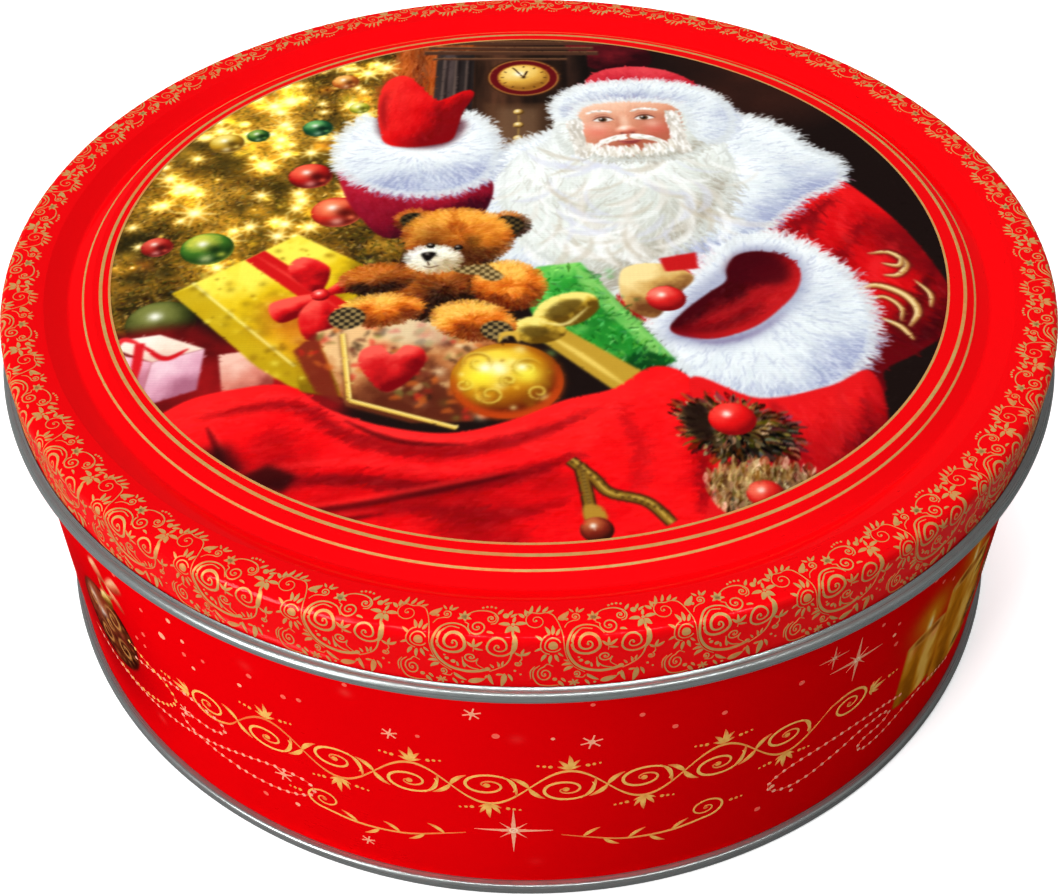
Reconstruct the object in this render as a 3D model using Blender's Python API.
"""Round slip-lid cookie tin: drawn lid, rolled side wall, seamed bottom and its paper fittings.

Frame: metres, +Z up.  The origin is the centre of the foot ring, on the floor.
The lid lifts straight up along +Z, so its origin lies on that axis.
Metal pieces are drawn as the mid-line of their sheet in the (radius, z) plane, then turned.
"""
import math

import bmesh
import bpy

# ----------------------------------------------------------------- driving dimensions (metres)
TURN_STEPS = 48               # facets round every turned piece, shared so that gaps stay even
MERGE_DISTANCE = 2e-6         # welds the start and end of a turn, and the points on the axis

SHEET = 0.00030               # tinplate thickness
HALF_SHEET = SHEET / 2
GAP = 0.00030                 # free space between neighbouring pieces

# lid: heights are those of the upper face
LID_TOP = 0.0680              # highest point of the outer ring
PANEL_R = 0.0802              # where the flat panel ends
PANEL_Z = 0.0670
PANEL_BEND_RUN, PANEL_BEND_DROP = 0.0006, 0.00016
GROOVE_R = 0.0848             # middle of the groove round the panel
GROOVE_Z = 0.06542
GROOVE_HALF_WIDTH = 0.0005    # half the width of the groove's flat bottom
GROOVE_RISE = 0.00008         # flat bottom above GROOVE_Z
EDGE_R = 0.0886               # inner edge of the raised outer ring
EDGE_Z = 0.06738
EDGE_BEND_RUN = 0.0004        # the edge is blunted this far to either side
EDGE_BEND_DROP, EDGE_BEND_RISE = 0.00016, 0.00002
RING_KNEE_RUN, RING_KNEE_RISE = 0.5, 0.75   # ring's knee, as fractions of the way to the shoulder
SHOULDER = 0.00175            # outside radius between ring and skirt
CURL_R = 0.0980               # outermost radius of the rolled curl: the tin's own radius
CURL_TUBE = 0.00105           # outside radius of the roll's section
CURL_Z = 0.0565               # height of the roll's centre
CURL_START = 180.0            # degrees, where the skirt runs into the roll
CURL_EVEN_TURN = 270.0        # degrees rolled in even steps, before one last short step
CURL_TURN = 295.0             # degrees the sheet turns in the roll
SKIRT_R = CURL_R - 2 * CURL_TUBE + SHEET    # outside of the skirt

# side wall
WALL_R = 0.0952               # outside of the wall
BEAD_TUBE = 0.00085           # outside radius of the inward bead's section
BEAD_Z = 0.0665               # height of the bead's centre
BEAD_TURN = 285.0
HOOK_Z = 0.0012               # centre of the hook at the foot
HOOK_BEND = 0.0004            # mid-sheet radius of the hook
HOOK_TIP_Z = 0.0016

# bottom end
SEAM_R = WALL_R + 2 * HOOK_BEND + GAP + SHEET   # outside of the seam ring, round the hook
SEAM_TOP = 0.00235
FLOOR_Z = 0.0038              # upper face of the bottom panel
STEP_DEPTH = 0.00065          # expansion ring pressed into the bottom panel
STEP_IN, STEP_OUT = 0.0700, 0.0865
STEP_SLOPE = 0.0014           # radial run of each flank of the ring
FLOOR_BEND = 0.0009           # mid-sheet bend radii, from the panel outwards
FOOT_INNER_BEND = 0.0006
FOOT_OUTER_BEND = 0.00045
SEAM_TOP_BEND = 0.0005

# paper fittings, stacked on the bottom panel
LINER_R, LINER_T = 0.0928, 0.0003
LINER_Z = FLOOR_Z + GAP
PAD_R, PAD_T = 0.0918, 0.00035
PAD_WAVE, PAD_PITCH = 0.00078, 0.0060
PAD_TRIM = 0.9985             # the end columns stop short of the rim, so they keep some width
PAD_MARGIN = 0.00005          # extra room below and above the waves
PAD_Z = LINER_Z + LINER_T + GAP
CUP_COUNT = 5
CUP_RING = 0.0598             # distance of each cup's centre from the tin's axis
CUP_TOP_R, CUP_BASE_R = 0.0338, 0.0302
CUP_HEIGHT, CUP_PAPER = 0.0275, 0.0003
CUP_PLEATS = 20
CUP_TOP_FOLD = 0.00055        # how far a pleat stands in and out of the mean radius
CUP_BASE_FOLD = CUP_TOP_FOLD / 2
CUP_Z = PAD_Z + 2 * PAD_WAVE + PAD_T + 2 * PAD_MARGIN + GAP


# ----------------------------------------------------------------- helpers
def clear_scene():
    for obj in list(bpy.data.objects):
        bpy.data.objects.remove(obj, do_unlink=True)


def material(name, colour, roughness, metallic=0.0):
    mat = bpy.data.materials.new(name)
    mat.use_nodes = True
    shader = mat.node_tree.nodes["Principled BSDF"]
    shader.inputs["Base Color"].default_value = (*colour, 1.0)
    shader.inputs["Roughness"].default_value = roughness
    shader.inputs["Metallic"].default_value = metallic
    mat.diffuse_color = (*colour, 1.0)
    return mat


def arc(centre_r, centre_z, radius, start, end, steps):
    """Points of a circular arc in the (radius, z) plane, angles in degrees."""
    points = []
    for i in range(steps + 1):
        angle = math.radians(start + (end - start) * i / steps)
        points.append((centre_r + radius * math.cos(angle), centre_z + radius * math.sin(angle)))
    return points


def offset(line, distance):
    """A polyline moved to the left of its travel by distance, with mitred corners."""
    normals = []
    for (start_r, start_z), (end_r, end_z) in zip(line, line[1:]):
        run, rise = end_r - start_r, end_z - start_z
        length = math.hypot(run, rise)
        normals.append((-rise / length, run / length))

    # The end points have one neighbouring segment, which counts twice.
    before = normals[:1] + normals
    after = normals + normals[-1:]
    moved = []
    for (radius, z), (before_r, before_z), (after_r, after_z) in zip(line, before, after):
        mitre = distance / (1.0 + before_r * after_r + before_z * after_z)
        moved.append((radius + (before_r + after_r) * mitre, z + (before_z + after_z) * mitre))
    return moved


def finish_object(name, bm, mat, sharp_angle=35.0):
    """Weld the bmesh and link it as an object; edges steeper than sharp_angle stay sharp."""
    bmesh.ops.remove_doubles(bm, verts=bm.verts, dist=MERGE_DISTANCE)
    bmesh.ops.recalc_face_normals(bm, faces=bm.faces)
    mesh = bpy.data.meshes.new(name)
    bm.to_mesh(mesh)
    bm.free()
    mesh.shade_smooth()
    mesh.set_sharp_from_angle(angle=math.radians(sharp_angle))
    mesh.materials.append(mat)
    obj = bpy.data.objects.new(name, mesh)
    bpy.context.collection.objects.link(obj)
    return obj


def turned(name, outline, mat):
    """Spin an outline about Z.  One that starts and ends on the axis isn't closed there."""
    bm = bmesh.new()
    verts = [bm.verts.new((radius, 0.0, z)) for radius, z in outline]
    edges = [bm.edges.new(pair) for pair in zip(verts, verts[1:])]
    if outline[0][0] > 1e-9:
        edges.append(bm.edges.new((verts[-1], verts[0])))
    bmesh.ops.spin(bm, geom=verts + edges, cent=(0, 0, 0), axis=(0, 0, 1), angle=2 * math.pi,
                   steps=TURN_STEPS, use_merge=False, use_duplicate=False)
    return finish_object(name, bm, mat)


def turned_sheet(name, mid_line, mat):
    """Turn a sheet of tinplate that follows a mid-line from the axis or a free edge."""
    outline = offset(mid_line, HALF_SHEET) + offset(mid_line, -HALF_SHEET)[::-1]
    return turned(name, outline, mat)


def frame_empty(name):
    empty = bpy.data.objects.new(name, None)
    bpy.context.collection.objects.link(empty)
    return empty


# ----------------------------------------------------------------- metal pieces
def make_lid(mat):
    shoulder_r = SKIRT_R - SHOULDER
    ring_r, ring_z = EDGE_R + EDGE_BEND_RUN, EDGE_Z + EDGE_BEND_RISE
    # (radius, height of the upper face), from the axis out to the ring
    face = [
        (0.0, PANEL_Z),
        (PANEL_R, PANEL_Z),
        (PANEL_R + PANEL_BEND_RUN, PANEL_Z - PANEL_BEND_DROP),
        (GROOVE_R - GROOVE_HALF_WIDTH, GROOVE_Z + GROOVE_RISE),
        (GROOVE_R + GROOVE_HALF_WIDTH, GROOVE_Z + GROOVE_RISE),
        (EDGE_R - EDGE_BEND_RUN, EDGE_Z - EDGE_BEND_DROP),
        (ring_r, ring_z),
        (ring_r + (shoulder_r - ring_r) * RING_KNEE_RUN,
         ring_z + (LID_TOP - ring_z) * RING_KNEE_RISE),
    ]
    mid_line = [(radius, z - HALF_SHEET) for radius, z in face]
    mid_line += arc(shoulder_r, LID_TOP - SHOULDER, SHOULDER - HALF_SHEET, 90.0, 0.0, steps=4)

    curl = (CURL_R - CURL_TUBE, CURL_Z, CURL_TUBE - HALF_SHEET)
    curl_even_end = CURL_START + CURL_EVEN_TURN
    mid_line += arc(*curl, CURL_START, curl_even_end, steps=9)
    mid_line += arc(*curl, curl_even_end, CURL_START + CURL_TURN, steps=1)[1:]
    return turned_sheet("lid", mid_line, mat)


def make_side_wall(mat):
    """From the bead's free edge, over its top, down the wall and round the outward hook."""
    bead = arc(WALL_R - BEAD_TUBE, BEAD_Z, BEAD_TUBE - HALF_SHEET, BEAD_TURN, 0.0, steps=8)
    hook_r = WALL_R - HALF_SHEET + HOOK_BEND
    hook = arc(hook_r, HOOK_Z, HOOK_BEND, 180.0, 360.0, steps=4)
    tip = (hook_r + HOOK_BEND, HOOK_TIP_Z)
    return turned_sheet("side_wall", bead + hook + [tip], mat)


def make_bottom_end(mat):
    """From the axis, down inside the wall, across the foot, up and back in over the hook."""
    floor = FLOOR_Z - HALF_SHEET
    inner_r = WALL_R - SHEET - GAP - HALF_SHEET    # stands just inside the side wall
    outer_r = SEAM_R - HALF_SHEET
    lip = SEAM_TOP - HALF_SHEET
    mid_line = [
        (0.0, floor),
        (STEP_IN, floor),
        (STEP_IN + STEP_SLOPE, floor - STEP_DEPTH),
        (STEP_OUT - STEP_SLOPE, floor - STEP_DEPTH),
        (STEP_OUT, floor),
    ]
    # centre radius, centre z, bend radius, start and end in degrees
    bends = (
        (inner_r - FLOOR_BEND, floor - FLOOR_BEND, FLOOR_BEND, 90.0, 0.0),
        (inner_r + FOOT_INNER_BEND, HALF_SHEET + FOOT_INNER_BEND, FOOT_INNER_BEND, 180.0, 270.0),
        (outer_r - FOOT_OUTER_BEND, HALF_SHEET + FOOT_OUTER_BEND, FOOT_OUTER_BEND, 270.0, 360.0),
        (outer_r - SEAM_TOP_BEND, lip - SEAM_TOP_BEND, SEAM_TOP_BEND, 0.0, 90.0),
    )
    for bend in bends:
        mid_line += arc(*bend, steps=2)
    mid_line.append((WALL_R + GAP + HALF_SHEET, lip))
    return turned_sheet("bottom_end", mid_line, mat)


# ----------------------------------------------------------------- paper fittings
def make_liner(mat):
    top = LINER_Z + LINER_T
    outline = [(0.0, LINER_Z), (LINER_R, LINER_Z), (LINER_R, top), (0.0, top)]
    return turned("base_liner", outline, mat)


def make_pad(mat):
    """One wavy sheet, cut round: the crests run along Y."""
    mid_z = PAD_Z + PAD_WAVE + PAD_T / 2 + PAD_MARGIN
    steps = int(2 * PAD_R / (PAD_PITCH / 4))
    reach = PAD_R * PAD_TRIM
    bm = bmesh.new()
    columns = []
    for i in range(steps + 1):
        x = -reach + 2 * reach * i / steps
        y = math.sqrt(PAD_R ** 2 - x ** 2)
        z = mid_z + PAD_WAVE * math.cos(2 * math.pi * x / PAD_PITCH)
        low, high = z - PAD_T / 2, z + PAD_T / 2
        corners = ((x, -y, low), (x, y, low), (x, y, high), (x, -y, high))
        columns.append([bm.verts.new(corner) for corner in corners])
    for column, following in zip(columns, columns[1:]):
        for k in range(4):
            j = (k + 1) % 4
            bm.faces.new((column[k], column[j], following[j], following[k]))
    bm.faces.new(columns[0][::-1])
    bm.faces.new(columns[-1])
    return finish_object("cushion_pad", bm, mat)


def pleated_ring(bm, mean_radius, fold, z):
    """A closed ring of vertices that stand in and out of the mean radius by turns."""
    count = CUP_PLEATS * 2
    verts = []
    for i in range(count):
        angle = 2 * math.pi * i / count
        radius = mean_radius + (fold if i % 2 else -fold)
        verts.append(bm.verts.new((radius * math.cos(angle), radius * math.sin(angle), z)))
    return verts


def make_cup(number, mat):
    """A pleated paper cup: a flared wall folded into pleats, closed by a flat base."""
    bm = bmesh.new()
    # mean radius, fold, z: up the outside, then down the inside
    stations = (
        (CUP_BASE_R, CUP_BASE_FOLD, 0.0),
        (CUP_TOP_R, CUP_TOP_FOLD, CUP_HEIGHT),
        (CUP_TOP_R - CUP_PAPER, CUP_TOP_FOLD, CUP_HEIGHT),
        (CUP_BASE_R - CUP_PAPER, CUP_BASE_FOLD, CUP_PAPER),
    )
    rings = [pleated_ring(bm, *station) for station in stations]
    count = len(rings[0])
    for ring, following in zip(rings, rings[1:]):
        for i in range(count):
            j = (i + 1) % count
            bm.faces.new((ring[i], ring[j], following[j], following[i]))
    for ring, z in ((rings[0], 0.0), (rings[-1], CUP_PAPER)):
        centre = bm.verts.new((0.0, 0.0, z))
        for i in range(count):
            bm.faces.new((ring[i], ring[(i + 1) % count], centre))

    cup = finish_object(f"paper_cup_{number}", bm, mat, sharp_angle=80.0)
    angle = math.radians(90.0 + 360.0 * (number - 1) / CUP_COUNT)
    cup.location = (CUP_RING * math.cos(angle), CUP_RING * math.sin(angle), CUP_Z)
    cup.rotation_euler = (0.0, 0.0, angle)
    return cup


# ----------------------------------------------------------------- assembly
def main():
    clear_scene()

    wall_print = material("side_wall_print", colour=(0.72, 0.006, 0.010),
                          roughness=0.30, metallic=0.20)
    tinplate = material("bottom_tinplate", colour=(0.52, 0.53, 0.54),
                        roughness=0.32, metallic=0.90)
    greaseproof = material("greaseproof", colour=(0.86, 0.84, 0.78), roughness=0.60)
    corrugated = material("corrugated_paper", colour=(0.90, 0.89, 0.86), roughness=0.75)
    lid_print = material("lid_print", colour=(0.76, 0.006, 0.010), roughness=0.28, metallic=0.20)

    pieces = [make_side_wall(wall_print), make_bottom_end(tinplate),
              make_liner(greaseproof), make_pad(corrugated)]
    for number in range(1, CUP_COUNT + 1):
        paper = material(f"cup_paper_{number}", colour=(0.92, 0.91, 0.88), roughness=0.70)
        pieces.append(make_cup(number, paper))
    body_frame = frame_empty("tin_body_frame")
    for piece in pieces:
        piece.parent = body_frame

    lid = make_lid(lid_print)
    lid.parent = frame_empty("lid_lift_axis")


main()
